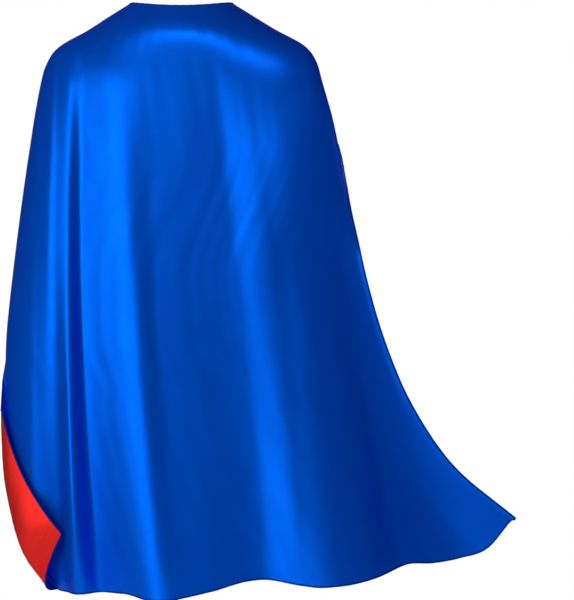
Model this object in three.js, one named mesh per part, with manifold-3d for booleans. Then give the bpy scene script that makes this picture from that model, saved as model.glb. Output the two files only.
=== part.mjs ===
import * as THREE from "three";
import { mergeVertices } from "three/addons/utils/BufferGeometryUtils.js";
import Module from "manifold-3d";

// A reversible costume cape, as it hangs from its wearer's neck and shoulders.
// Millimetres, +Z up. The back of the cape faces -Y and its wearer faces +Y. "Left" is -X and
// "right" is +X. The origin is the middle of the neck opening, level with the back neckline.

// ---- Driving dimensions ----

// The cape as it hangs
const CAPE_LENGTH = 700; // highest point of the neckline to the lowest point of the hem
const SHOULDER_WIDTH = 306;
const SHOULDER_DROP = 55; // back neckline down to the shoulder tips
const HEM_REACH_LEFT = 153; // from the middle to where the turned-back corner's fold meets the hem
const HEM_REACH_RIGHT = 395; // from the middle to the flared right corner
const LEFT_BULGE = 211; // widest place on the left, where the corner starts to turn back
const HEM_RISE_LEFT = 6; // how far the hem's ends hang above its middle
const HEM_RISE_RIGHT = 94;

// The neckline
const NECK_WIDTH = 122;
const NECK_DEPTH = 104;
const NECK_RISE = 6; // sides of the neckline above its back
const THROAT_GAP = 60; // between the two front ends, which the closure bridges
const THROAT_DROP = 12; // front ends below the back neckline

// The back, seen from the side
const BACK_DEPTH = 104; // behind the origin, at the waist
const HEM_DEPTH = 112;

// The cloth
const PANEL_THICKNESS = 0.6;
const PANEL_GAP = 0.5; // between the outer panel and the lining
const SEAM_RADIUS = 1.2;
const SEWN_GAP = 0.3; // between pieces that are sewn to each other
const LEFT_EDGE_CURL = [5, 13]; // how far the free edge curls in, and towards the back
const RIGHT_EDGE_CURL = [5, 1];

// The turned-back corner
const CORNER_TIP = new THREE.Vector3(14, -66, 69); // from the lower end of its fold
const CORNER_TOP_WIDTH = 3;
const CORNER_BOW = new THREE.Vector3(-9, -4, -6); // how far its front edge bows
const CORNER_HEM_BOW = new THREE.Vector3(-20, 0, 0); // how far its hem is drawn aside
const CORNER_ROLL = 0.42; // how roundly it leaves its fold, as a share of its width
const FOLD_GAP = 1;

// The closure at the throat
const TAB_HEIGHT = 23;
const TAB_THICKNESS = 1.4;
const TAB_REACH = 16; // past the middle, on each side
const TAB_BEND = 8; // over which the upper tab steps out over the lower one
const PATCH_SIZE = 17;
const PATCH_THICKNESS = 0.8;
const STITCH_WIDTH = 0.7;
const STITCH_THICKNESS = 0.35;
const STITCH_INSET = 1.2;

// The care label
const LABEL_WIDTH = 20;
const LABEL_LENGTH = 26;
const LABEL_THICKNESS = 0.3;

// Where the back swings, below the shoulders
const SWING_AXIS_Y = -10;
const SWING_AXIS_Z = -50;
const SWING_RADIUS = 120;
const SWING_GAP = 0.6;
const SWING_SIDES = 96;

// Resolution of the solids
const ROWS = 32;
const ROW_GROWTH = 1.42; // rows lie closer together at the neckline
const CORNER_ROW = 25; // the row where the corner starts to turn back
const COLUMNS = 48;
const CORNER_COLUMNS = 7;
const PATH_STEPS = 90;
const SEAM_SIDES = 6;

// ---- Small helpers ----

const mix = THREE.MathUtils.lerp;
const smooth = THREE.MathUtils.smoothstep;
const vector = (x, y, z) => new THREE.Vector3(x, y, z);

// A smooth curve through hand-placed points, followed by its length.
const guide = (points) => new THREE.CatmullRomCurve3(points, false, "catmullrom", 0.5);

// A smooth value through three places of a share: near the top, in the middle and at the hem.
const TOP_SHARE = 0.09;
const MIDDLE_SHARE = 0.5;
function throughThree([top, middle, low], share) {
  const [a, b, c] = [TOP_SHARE, MIDDLE_SHARE, 1];
  return (
    (top * (share - b) * (share - c)) / ((a - b) * (a - c)) +
    (middle * (share - a) * (share - c)) / ((b - a) * (b - c)) +
    (low * (share - a) * (share - b)) / ((c - a) * (c - b))
  );
}

// ---- The hanging sheet ----

const backDrop = CAPE_LENGTH - NECK_RISE;
const neckHalf = NECK_WIDTH / 2;
const shoulderHalf = SHOULDER_WIDTH / 2;

// The centre of the back: [share of the drop, share of the way from the neck out to the waist].
const backGuide = guide(
  [
    [0, 0],
    [0.03, 0.38],
    [0.062, 0.62],
    [0.12, 0.82],
    [0.2, 0.93],
    [0.34, 0.99],
  ]
    .map(([drop, out]) => vector(0, -mix(NECK_DEPTH / 2, BACK_DEPTH, out), -drop * backDrop))
    .concat([
      vector(0, -mix(BACK_DEPTH, HEM_DEPTH, 0.5), -0.74 * backDrop),
      vector(0, -HEM_DEPTH, -backDrop),
    ]),
);

// The shoulder line, the same on both sides: [share of the way out, share of the way down].
const SHOULDER_LINE = [
  [0, 0],
  [0.25, 0.24],
  [0.55, 0.53],
  [0.9, 0.83],
  [1.06, 1.14],
  [1.15, 1.6],
];
const shoulderPoints = (side) =>
  SHOULDER_LINE.map(([out, down]) =>
    vector(side * mix(neckHalf, shoulderHalf, out), 0, mix(NECK_RISE, -SHOULDER_DROP, down)),
  );

// The widest line of each side: [share of the width gained below the shoulder, share of the drop].
const leftDrop = backDrop - HEM_RISE_LEFT;
const rightDrop = backDrop - HEM_RISE_RIGHT;
const leftSideGuide = guide([
  ...shoulderPoints(-1),
  ...[
    [0.45, 0.17],
    [0.68, 0.32],
    [0.9, 0.49],
    [1.01, 0.62],
  ].map(([out, down]) =>
    vector(-mix(shoulderHalf, LEFT_BULGE, out), 0, mix(-SHOULDER_DROP, -leftDrop, down)),
  ),
  ...[
    [1, 0.71],
    [0.86, 0.82],
    [0.5, 0.93],
    [0, 1],
  ].map(([out, down]) =>
    vector(-mix(HEM_REACH_LEFT, LEFT_BULGE, out), 0, mix(-SHOULDER_DROP, -leftDrop, down)),
  ),
]);
const rightSideGuide = guide([
  ...shoulderPoints(1),
  ...[
    [0.125, 0.18],
    [0.21, 0.37],
    [0.275, 0.5],
    [0.365, 0.63],
    [0.495, 0.76],
    [0.7, 0.89],
    [1, 1],
  ].map(([out, down]) =>
    vector(mix(shoulderHalf, HEM_REACH_RIGHT, out), 0, mix(-SHOULDER_DROP, -rightDrop, down)),
  ),
]);

// The free front edge of each side: down the throat, out over the collarbone, behind the arm.
// [share of the way from the throat to the shoulder, depth, height], then the side itself.
const throatHalf = THROAT_GAP / 2;
const EDGE_LINE = [
  [0, 45, 0],
  [0, 45.3, -12],
  [0.02, 47, -25],
  [0.17, 54, -40],
  [0.45, 53, -58],
  [0.77, 39, -80],
  [0.97, 26, -124],
];
const edgeGuide = (side, sideGuide, inset) =>
  guide([
    ...EDGE_LINE.map(([out, depth, height]) =>
      vector(side * mix(throatHalf, shoulderHalf, out), depth, height - THROAT_DROP),
    ),
    ...[0.3, 0.42, 0.55, 0.7, 0.85, 1].map((share) =>
      sideGuide.getPointAt(share).add(vector(-side * inset, 14, 0)),
    ),
  ]);

// Each side of the sheet. turning: [start, end] shares between which the edge turns from wrapping
// round to the front to facing the back; full: how square the back is, top and hem; depth: where
// the side stands, in the middle and at the hem; deep: shares over which it gets there; level:
// whether the back stays level before it falls away to the side.
const SIDES = {
  left: {
    sign: -1,
    side: leftSideGuide,
    edge: edgeGuide(-1, leftSideGuide, 3),
    curl: LEFT_EDGE_CURL,
    turning: [0.55, 0.72],
    full: [0.45, 0.7],
    depth: [-14, -14],
    deep: [0.3, 1],
    level: 0,
  },
  right: {
    sign: 1,
    side: rightSideGuide,
    edge: edgeGuide(1, rightSideGuide, 0),
    curl: RIGHT_EDGE_CURL,
    turning: [0.25, 0.5],
    full: [0.4, 0.6],
    depth: [-50, -20],
    deep: [0, 0.3],
    level: 1,
  },
};
const LEVEL_FROM = 0.35; // share of the reach where a level back starts to fall away

// The folds of the back, left to right, each given near the top, in the middle and at the hem:
// places across, as shares of the reach of that side; and how far they stand out to the back.
const FOLDS = [
  [[-0.81, -1.01, -0.83], [0, 0, 0]],
  [[-0.75, -0.83, -0.79], [0.5, 1, -8]],
  [[-0.72, -0.785, -0.76], [-0.5, 1, -16]],
  [[-0.695, -0.735, -0.72], [0.5, 3, -22]],
  [[-0.67, -0.69, -0.65], [-1, 2.5, -22]],
  [[-0.61, -0.62, -0.57], [1, 6, 10]],
  [[-0.52, -0.545, -0.43], [-1, -12, -26]],
  [[-0.37, -0.26, -0.1], [0.5, -3.5, -1]],
  [[-0.16, -0.13, 0.03], [-1, -10.5, -6]],
  [[-0.04, 0, 0.1], [-2, -13, -12]],
  [[0.06, 0.17, 0.25], [0, -17, -26]],
  [[0.17, 0.29, 0.36], [4, -2, -16]],
  [[0.3, 0.38, 0.49], [10, 12, -3]],
  [[0.34, 0.43, 0.56], [11, 14, -2]],
  [[0.38, 0.49, 0.66], [9, 9, -20]],
  [[0.41, 0.55, 0.78], [6, 5, -17]],
  [[0.44, 0.62, 1], [2, 3, 2]],
];
const FOLD_START = 0.1; // share of the length over which the folds come in

// How far the hem lifts, at shares of its reach.
const HEM_LIFTS = [
  [-1, 0],
  [-0.77, 4],
  [-0.6, 7],
  [-0.45, 7],
  [-0.2, 0],
  [-0.05, 1],
  [0.095, 11],
  [0.2, 22],
  [0.25, 24],
  [0.36, 17],
  [0.43, 13.5],
  [0.5, 14],
  [0.6, 18],
  [0.68, 23],
  [0.76, 13],
  [0.85, 1],
  [0.93, -10],
  [1, -4],
];

// A smooth line through the heights that never overshoots them.
function chain(value, places, heights) {
  const wide = places.slice(1).map((place, k) => place - places[k]);
  const slope = wide.map((width, k) => (heights[k + 1] - heights[k]) / width);
  const turn = [0];
  for (let k = 1; k < slope.length; k++) {
    const both = slope[k - 1] * slope[k];
    turn.push(both > 0 ? (2 * both) / (slope[k - 1] + slope[k]) : 0);
  }
  turn.push(0);
  if (value <= places[0]) return heights[0];
  if (value >= places.at(-1)) return heights.at(-1);
  const k = places.findIndex((place) => place > value) - 1;
  const part = (value - places[k]) / wide[k];
  const step = (heights[k + 1] - heights[k]) * part * part * (3 - 2 * part);
  const bend = turn[k] * part * (1 - part) * (1 - part) + turn[k + 1] * part * part * (part - 1);
  return heights[k] + step + wide[k] * bend;
}

// Height and lift of the folds at one place of a row that reaches this far.
function foldAt(x, share, reach) {
  const places = FOLDS.map(([at]) => {
    const place = throughThree(at, share);
    return place * (place < 0 ? LEFT_BULGE : HEM_REACH_RIGHT);
  });
  const heights = FOLDS.map(([, height]) => throughThree(height, share));
  const lift = chain(
    x / reach,
    HEM_LIFTS.map(([at]) => at),
    HEM_LIFTS.map(([, up]) => up),
  );
  return {
    height: chain(x, places, heights) * smooth(share, 0, FOLD_START),
    lift: lift * share * share,
  };
}

// One side of one row, from the centre of the back to the free edge.
const EDGE_TURN = (70 * Math.PI) / 180; // how far the edge turns round past the side
const HEM_SWEEP = 2.6; // how late across the hem its rise towards the sides comes
function halfRow(side, share) {
  const back = backGuide.getPointAt(share);
  const widest = side.side.getPointAt(share);
  const curl = smooth(share, ...side.turning);
  const square = 2 * mix(side.full[0], side.full[1], smooth(share, 0.25, 1));
  const rise = 2 + HEM_SWEEP * share;
  const turn = widest.clone();
  turn.x -= side.sign * side.curl[0] * curl;
  turn.y = mix(...side.depth, smooth(share, 0.5, 1)) * smooth(share, ...side.deep);
  const curled = vector(widest.x, turn.y - side.curl[1], widest.z);
  const end = side.edge.getPointAt(share).lerp(curled, curl);
  const reach = Math.abs(turn.x);
  const path = [];
  for (let step = 0; step <= PATH_STEPS; step++) {
    const angle = (step / PATH_STEPS) * (Math.PI / 2);
    const across = Math.sin(angle);
    const round = 1 - Math.pow(Math.max(Math.cos(angle), 0), square);
    const level = smooth(across, LEVEL_FROM, 1);
    const x = mix(back.x, turn.x, across);
    const y = mix(back.y, turn.y, mix(round, level, side.level * curl));
    const z = mix(back.z, turn.z, Math.pow(across, rise));
    const fold = foldAt(x, share, reach);
    path.push(vector(x, y - fold.height, z + fold.lift));
  }
  const last = foldAt(turn.x, share, reach);
  for (let step = 1; step <= PATH_STEPS / 3; step++) {
    const part = step / (PATH_STEPS / 3);
    const across = (1 - Math.cos(part * EDGE_TURN)) / (1 - Math.cos(EDGE_TURN));
    const along = Math.sin(part * EDGE_TURN) / Math.sin(EDGE_TURN);
    const keep = mix(1 - part, 1, curl);
    path.push(
      vector(
        mix(turn.x, end.x, mix(across, along, curl)),
        mix(turn.y, end.y, mix(along, across, curl)) - last.height * keep,
        mix(turn.z, end.z, mix(across, part, curl)) + last.lift * keep,
      ),
    );
  }
  return path;
}

// A row of evenly spaced points from the left edge to the right edge.
const SOFTEN_STEPS = 240;
const SOFTEN_TIMES = 10;
function rowOf(share, columns) {
  const left = halfRow(SIDES.left, share).reverse();
  const right = halfRow(SIDES.right, share).slice(1);
  return evenly(soften(evenly(left.concat(right), SOFTEN_STEPS)), columns);
}

// Cloth has no sharp bends: each point moves towards the middle of its neighbours.
function soften(path) {
  let points = path;
  for (let time = 0; time < SOFTEN_TIMES; time++)
    points = points.map((point, k) =>
      k === 0 || k === points.length - 1
        ? point
        : point.clone().lerp(points[k - 1].clone().lerp(points[k + 1], 0.5), 0.5),
    );
  return points;
}

function evenly(path, columns) {
  const lengths = [0];
  path.slice(1).forEach((point, i) => lengths.push(lengths[i] + point.distanceTo(path[i])));
  const total = lengths[lengths.length - 1];
  const points = [];
  let piece = 0;
  for (let column = 0; column <= columns; column++) {
    const wanted = (total * column) / columns;
    while (piece < path.length - 2 && lengths[piece + 1] < wanted) piece++;
    const part = (wanted - lengths[piece]) / (lengths[piece + 1] - lengths[piece]);
    points.push(path[piece].clone().lerp(path[piece + 1], part));
  }
  return points;
}

const shareOfRow = (row) => Math.pow(row / ROWS, ROW_GROWTH);

// ---- Grids of points, and the solids made on them ----

// A grid is a list of rows of points, with rows running from the neckline down and columns
// running from left to right, so that its normals point away from the wearer.
function normalsOf(grid) {
  const last = grid.length - 1;
  const end = grid[0].length - 1;
  return grid.map((row, j) =>
    row.map((_, i) => {
      const down = grid[Math.min(j + 1, last)][i].clone().sub(grid[Math.max(j - 1, 0)][i]);
      const across = row[Math.min(i + 1, end)].clone().sub(row[Math.max(i - 1, 0)]);
      return down.cross(across).normalize();
    }),
  );
}

// A thin closed solid between two distances from a grid, measured along its normals.
function layer(grid, from, to) {
  const normals = normalsOf(grid);
  const rows = grid.length;
  const columns = grid[0].length;
  const positions = [];
  for (const distance of [to, from])
    grid.forEach((row, j) =>
      row.forEach((point, i) =>
        positions.push(...point.clone().addScaledVector(normals[j][i], distance)),
      ),
    );
  const at = (side, j, i) => (side * rows + j) * columns + i;
  const indices = [];
  const quad = (a, b, c, d) => indices.push(a, b, c, a, c, d);
  for (let j = 0; j + 1 < rows; j++)
    for (let i = 0; i + 1 < columns; i++) {
      quad(at(0, j, i), at(0, j + 1, i), at(0, j + 1, i + 1), at(0, j, i + 1));
      quad(at(1, j, i), at(1, j, i + 1), at(1, j + 1, i + 1), at(1, j + 1, i));
    }
  for (let i = 0; i + 1 < columns; i++) {
    quad(at(0, 0, i), at(0, 0, i + 1), at(1, 0, i + 1), at(1, 0, i));
    quad(at(0, rows - 1, i + 1), at(0, rows - 1, i), at(1, rows - 1, i), at(1, rows - 1, i + 1));
  }
  for (let j = 0; j + 1 < rows; j++) {
    quad(at(0, j + 1, 0), at(0, j, 0), at(1, j, 0), at(1, j + 1, 0));
    quad(at(0, j, columns - 1), at(0, j + 1, columns - 1), at(1, j + 1, columns - 1), at(1, j, columns - 1));
  }
  return indexed(positions, indices);
}

function indexed(positions, indices) {
  const geometry = new THREE.BufferGeometry();
  geometry.setAttribute("position", new THREE.Float32BufferAttribute(positions, 3));
  geometry.setIndex(indices);
  geometry.computeVertexNormals();
  return geometry;
}

// A bead along an edge of the cloth: it lies outwards of the edge by its radius and the sewn gap.
// points: along the edge; outwards: one direction for each point, away from the cloth.
function bead(points, outwards) {
  const positions = [];
  points.forEach((point, k) => {
    const along = points[Math.min(k + 1, points.length - 1)]
      .clone()
      .sub(points[Math.max(k - 1, 0)])
      .normalize();
    const out = outwards[k].clone().addScaledVector(along, -outwards[k].dot(along)).normalize();
    const up = along.clone().cross(out);
    const centre = point.clone().addScaledVector(out, SEAM_RADIUS + SEWN_GAP);
    for (let side = 0; side < SEAM_SIDES; side++) {
      const angle = (side / SEAM_SIDES) * 2 * Math.PI;
      const point = centre
        .clone()
        .addScaledVector(out, SEAM_RADIUS * Math.cos(angle))
        .addScaledVector(up, SEAM_RADIUS * Math.sin(angle));
      positions.push(...point);
    }
  });
  const indices = [];
  for (let k = 0; k + 1 < points.length; k++)
    for (let side = 0; side < SEAM_SIDES; side++) {
      const next = (side + 1) % SEAM_SIDES;
      const [a, b] = [k * SEAM_SIDES + side, k * SEAM_SIDES + next];
      indices.push(a, b, b + SEAM_SIDES, a, b + SEAM_SIDES, a + SEAM_SIDES);
    }
  const lastRing = (points.length - 1) * SEAM_SIDES;
  for (let side = 1; side + 1 < SEAM_SIDES; side++) {
    indices.push(0, side + 1, side);
    indices.push(lastRing, lastRing + side, lastRing + side + 1);
  }
  return indexed(positions, indices);
}

// Directions pointing out of the cloth at one border of a grid.
const outwardsOf = (border, inner) =>
  border.map((point, k) => point.clone().sub(inner[k]).normalize());

const column = (grid, i) => grid.map((row) => row.at(i));

// The same line of points, shorter at both ends, so that it ends clear of the bead it meets.
function trimmed(points) {
  const shorter = points.map((point) => point.clone());
  const cut = SEAM_RADIUS + SEWN_GAP;
  for (const [end, next] of [
    [0, 1],
    [points.length - 1, points.length - 2],
  ])
    shorter[end].lerp(points[next], cut / points[end].distanceTo(points[next]));
  return shorter;
}

// ---- Cuts ----

const wasm = await Module();
wasm.setup();

function solidOf(geometry) {
  const bare = geometry.clone();
  bare.deleteAttribute("normal");
  bare.deleteAttribute("uv");
  const merged = mergeVertices(bare, 1e-4);
  return new wasm.Manifold(
    new wasm.Mesh({
      numProp: 3,
      vertProperties: merged.attributes.position.array,
      triVerts: new Uint32Array(merged.index.array),
    }),
  );
}

function geometryOf(solid) {
  const mesh = solid.getMesh();
  return indexed(Array.from(mesh.vertProperties), Array.from(mesh.triVerts));
}

// The swing's round boundary, about its axis and wider than the cape.
function swingCylinder(radius) {
  const length = 4 * Math.max(HEM_REACH_RIGHT, LEFT_BULGE);
  const cylinder = new THREE.CylinderGeometry(radius, radius, length, SWING_SIDES);
  cylinder.rotateZ(Math.PI / 2);
  cylinder.translate(0, SWING_AXIS_Y, SWING_AXIS_Z);
  return solidOf(cylinder);
}
const insideSwing = swingCylinder(SWING_RADIUS);
const outsideSwing = swingCylinder((SWING_RADIUS + SWING_GAP) / Math.cos(Math.PI / SWING_SIDES));
const aboveSwing = (geometry) => geometryOf(solidOf(geometry).intersect(insideSwing));
const belowSwing = (geometry) => geometryOf(solidOf(geometry).subtract(outsideSwing));

// ---- Pieces ----

const BLUE = { color: "#0450cd", roughness: 0.35, metalness: 0 };
const RED = { color: "#cb0c14", roughness: 0.38, metalness: 0 };
const SEAM_BLUE = { color: "#02379a", roughness: 0.45, metalness: 0 };
const HOOK_BLUE = { color: "#062a78", roughness: 0.85, metalness: 0 };
const THREAD_BLUE = { color: "#0a3fa8", roughness: 0.6, metalness: 0 };
const LABEL_WHITE = { color: "#f2f2ee", roughness: 0.7, metalness: 0 };

const cape = new THREE.Group();
function place(name, geometry, look, parent = cape) {
  const mesh = new THREE.Mesh(geometry, new THREE.MeshStandardMaterial(look));
  mesh.name = name;
  parent.add(mesh);
  return mesh;
}

const mainGrid = Array.from({ length: ROWS + 1 }, (_, row) => rowOf(shareOfRow(row), COLUMNS));
const OUTER = [PANEL_GAP / 2, PANEL_GAP / 2 + PANEL_THICKNESS];
const LINING = [-PANEL_GAP / 2 - PANEL_THICKNESS, -PANEL_GAP / 2];

// The two panels, each parted where the back swings.
function addPanels() {
  const outer = layer(mainGrid, ...OUTER);
  const lining = layer(mainGrid, ...LINING);
  place("outer_panel_yoke", aboveSwing(outer), BLUE);
  place("outer_panel_drape", belowSwing(outer), BLUE);
  place("lining_yoke", aboveSwing(lining), RED);
  place("lining_drape", belowSwing(lining), RED);
}

// The rolled seam that joins the panels, along the neckline, the front edges and the hem.
const TAB_ROWS = mainGrid.findIndex((row) => row[0].z < -THROAT_DROP - TAB_HEIGHT - SEWN_GAP);
function addSeams() {
  place("neckline_seam", bead(mainGrid[0], outwardsOf(mainGrid[0], mainGrid[1])), SEAM_BLUE);
  const hem = bead(trimmed(mainGrid[ROWS]), outwardsOf(mainGrid[ROWS], mainGrid[ROWS - 1]));
  place("hem_seam", hem, SEAM_BLUE);
  for (const [side, i, inner, lastRow] of [
    ["left", 0, 1, CORNER_ROW],
    ["right", -1, -2, ROWS],
  ]) {
    const border = column(mainGrid, i).slice(TAB_ROWS, lastRow + 1);
    const inside = column(mainGrid, inner).slice(TAB_ROWS, lastRow + 1);
    const seam = bead(border, outwardsOf(border, inside));
    place(side + "_shoulder_edge_seam", aboveSwing(seam), SEAM_BLUE);
    place(side + "_side_edge_seam", belowSwing(seam), SEAM_BLUE);
  }
}

// The corner that is turned back over its fold, from the fold to its two free edges.
function cornerGrid() {
  const fold = column(mainGrid, 0).slice(CORNER_ROW);
  const top = fold[0];
  const tip = fold.at(-1).clone().add(CORNER_TIP);
  const towardsBack = vector(0, -1, 0);
  return fold.map((start, row) => {
    const part = row / (fold.length - 1);
    const base = start.clone().addScaledVector(towardsBack, FOLD_GAP);
    const free = top
      .clone()
      .addScaledVector(towardsBack, FOLD_GAP + CORNER_TOP_WIDTH)
      .lerp(tip, part)
      .addScaledVector(CORNER_BOW, 4 * part * (1 - part));
    const control = base
      .clone()
      .addScaledVector(towardsBack, CORNER_ROLL * base.distanceTo(free))
      .addScaledVector(CORNER_HEM_BOW, part);
    const curve = new THREE.QuadraticBezierCurve3(base, control, free);
    return curve.getSpacedPoints(CORNER_COLUMNS).reverse();
  });
}

function addCorner() {
  const grid = cornerGrid();
  place("outer_panel_corner", layer(grid, ...OUTER), BLUE);
  place("lining_corner", layer(grid, ...LINING), RED);
  const front = column(grid, 0);
  place("corner_front_edge_seam", bead(front, outwardsOf(front, column(grid, 1))), SEAM_BLUE);
  const hem = grid.at(-1);
  place("corner_hem_seam", bead(trimmed(hem), outwardsOf(hem, grid.at(-2))), SEAM_BLUE);
}

// ---- The closure at the throat ----

// Heights and depths of the stack, from the wearer's throat outwards.
const tabTop = mainGrid[0][0].z - SEWN_GAP;
const tabMiddle = tabTop - TAB_HEIGHT / 2;
const frontEnd = mainGrid[0][0].y;
const lowerTabBack = frontEnd;
const loopPatchBack = lowerTabBack + TAB_THICKNESS + SEWN_GAP;
const hookPatchBack = loopPatchBack + PATCH_THICKNESS + SEWN_GAP;
const upperTabBack = hookPatchBack + PATCH_THICKNESS + SEWN_GAP;

// A strip of cloth on edge: its plan runs through the given points, and it stands TAB_HEIGHT tall.
function tab(plan) {
  const points = plan.map(([x, y]) => new THREE.Vector2(x, y));
  const offsets = points.map((point, k) => {
    const before = points[Math.max(k - 1, 0)];
    const after = points[Math.min(k + 1, points.length - 1)];
    const along = after.clone().sub(before).normalize();
    const atEnd = k === 0 || k === points.length - 1;
    const out = atEnd ? new THREE.Vector2(0, 1) : new THREE.Vector2(-along.y, along.x);
    return point.clone().addScaledVector(out, TAB_THICKNESS);
  });
  const outline = new THREE.Shape(points.concat(offsets.reverse()));
  const geometry = new THREE.ExtrudeGeometry(outline, { depth: TAB_HEIGHT, bevelEnabled: false });
  geometry.translate(0, 0, tabTop - TAB_HEIGHT);
  return geometry;
}

function patch() {
  return new THREE.BoxGeometry(PATCH_SIZE, PATCH_THICKNESS, PATCH_SIZE);
}

// A square line of stitches, facing along Y.
function stitching() {
  const outer = PATCH_SIZE / 2 - STITCH_INSET;
  const inner = outer - STITCH_WIDTH;
  const square = (half) => [
    new THREE.Vector2(-half, -half),
    new THREE.Vector2(half, -half),
    new THREE.Vector2(half, half),
    new THREE.Vector2(-half, half),
  ];
  const outline = new THREE.Shape(square(outer));
  outline.holes.push(new THREE.Path(square(inner).reverse()));
  const geometry = new THREE.ExtrudeGeometry(outline, { depth: STITCH_THICKNESS, bevelEnabled: false });
  geometry.rotateX(Math.PI / 2);
  return geometry;
}

function addClosure() {
  const root = throatHalf - SEWN_GAP;
  const lower = tab([
    [-root, lowerTabBack],
    [TAB_REACH, lowerTabBack],
  ]);
  place("left_closure_tab", lower, BLUE);
  const loop = place("loop_patch", patch(), HOOK_BLUE);
  loop.position.set(0, loopPatchBack + PATCH_THICKNESS / 2, tabMiddle);
  const loopStitches = place("loop_patch_stitching", stitching(), THREAD_BLUE);
  loopStitches.position.set(0, lowerTabBack - SEWN_GAP, tabMiddle);

  const upper = tab([
    [-TAB_REACH, upperTabBack],
    [root - TAB_BEND, upperTabBack],
    [root, frontEnd],
  ]);
  place("right_closure_tab", upper, BLUE);
  const hook = place("hook_patch", patch(), HOOK_BLUE);
  hook.position.set(0, hookPatchBack + PATCH_THICKNESS / 2, tabMiddle);
  const hookStitches = place("hook_patch_stitching", stitching(), THREAD_BLUE);
  hookStitches.position.set(0, upperTabBack + TAB_THICKNESS + SEWN_GAP + STITCH_THICKNESS, tabMiddle);
}

// The blank care label hangs inside the back neckline, against the lining.
const LABEL_COLUMNS = 4;
const LABEL_ROWS = 4;
const LABEL_DROP = 1.5; // below the neckline
function addLabel() {
  const grid = [];
  for (let row = 0; row <= LABEL_ROWS; row++) {
    const share = (LABEL_DROP + (LABEL_LENGTH * row) / LABEL_ROWS) / backDrop;
    const left = halfRow(SIDES.left, share).slice(1, PATH_STEPS + 1).reverse();
    const back = left.concat(halfRow(SIDES.right, share).slice(0, PATH_STEPS + 1));
    grid.push(
      Array.from({ length: LABEL_COLUMNS + 1 }, (_, i) => {
        const x = LABEL_WIDTH * (i / LABEL_COLUMNS - 0.5);
        const after = back.findIndex((point) => point.x > x);
        const [a, b] = [back[after - 1], back[after]];
        return a.clone().lerp(b, (x - a.x) / (b.x - a.x));
      }),
    );
  }
  const face = LINING[0] - SEWN_GAP;
  place("care_label", layer(grid, face - LABEL_THICKNESS, face), LABEL_WHITE);
}

addPanels();
addSeams();
addCorner();
addClosure();
addLabel();

export default cape;
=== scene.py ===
"""A child's reversible satin cape, hanging from its wearer's shoulders."""

import math

import bpy
import numpy as np
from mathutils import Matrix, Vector, noise


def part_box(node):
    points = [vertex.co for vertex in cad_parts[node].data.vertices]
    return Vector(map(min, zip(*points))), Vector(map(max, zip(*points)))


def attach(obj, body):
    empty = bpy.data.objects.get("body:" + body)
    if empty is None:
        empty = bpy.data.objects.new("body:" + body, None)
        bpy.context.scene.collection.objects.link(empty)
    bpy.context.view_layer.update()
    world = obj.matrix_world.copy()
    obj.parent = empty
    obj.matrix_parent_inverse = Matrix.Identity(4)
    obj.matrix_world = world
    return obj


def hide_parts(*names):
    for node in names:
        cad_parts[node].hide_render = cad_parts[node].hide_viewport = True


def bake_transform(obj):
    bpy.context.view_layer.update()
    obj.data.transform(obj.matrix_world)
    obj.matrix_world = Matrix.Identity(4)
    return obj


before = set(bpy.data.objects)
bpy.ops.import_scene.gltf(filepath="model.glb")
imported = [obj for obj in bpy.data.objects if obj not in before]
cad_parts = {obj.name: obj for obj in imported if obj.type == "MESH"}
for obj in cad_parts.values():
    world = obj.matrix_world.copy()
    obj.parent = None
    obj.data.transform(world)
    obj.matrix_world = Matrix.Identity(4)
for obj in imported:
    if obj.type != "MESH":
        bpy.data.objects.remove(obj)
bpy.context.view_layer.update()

# ---- Sizes, in metres, the same as those of the solids ----

MM = 0.001
SEAM_RADIUS = 1.2 * MM
CAPE_TOP = 6 * MM
BACK_DROP = 694 * MM
NECK_HALF = 61 * MM
NECK_BACK = 52 * MM
SHOULDER_HALF = 153 * MM
SHOULDER_DROP = 55 * MM
THROAT_HALF = 30 * MM
THROAT_DROP = 12 * MM
HEM_REACH_LEFT = 153 * MM
HEM_REACH_RIGHT = 395 * MM
LEFT_BULGE = 211 * MM
HEM_RISE_LEFT = 6 * MM
HEM_RISE_RIGHT = 94 * MM
BACK_DEPTH = 104 * MM
HEM_DEPTH = 112 * MM
PANEL_OFFSET = 0.45 * MM  # each panel lies this far from the middle of the two

# The share of the length where the corner starts to turn back: in the solids this is row 25 of 32,
# and their rows grow longer by a power of 1.42.
CORNER_START = (25 / 32) ** 1.42
CORNER_TIP = np.array([14, -66, 69]) * MM
CORNER_BOW = np.array([-9, -4, -6]) * MM
CORNER_HEM_BOW = np.array([-20, 0, 0]) * MM
CORNER_TOP_WIDTH = 3 * MM
CORNER_ROLL = 0.42

ROWS_ABOVE, ROWS_BELOW, COLUMNS = 170, 80, 340
ROW_GROWTH = 1.15
CORNER_COLUMNS = 60


# ---- The hanging sheet: the same guides as the solids, on a finer grid ----


def mix(a, b, share):
    return a + (b - a) * share


def smooth(value, low, high):
    share = np.clip((value - low) / (high - low), 0, 1)
    return share * share * (3 - 2 * share)


GUIDE_STEPS = 200


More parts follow.
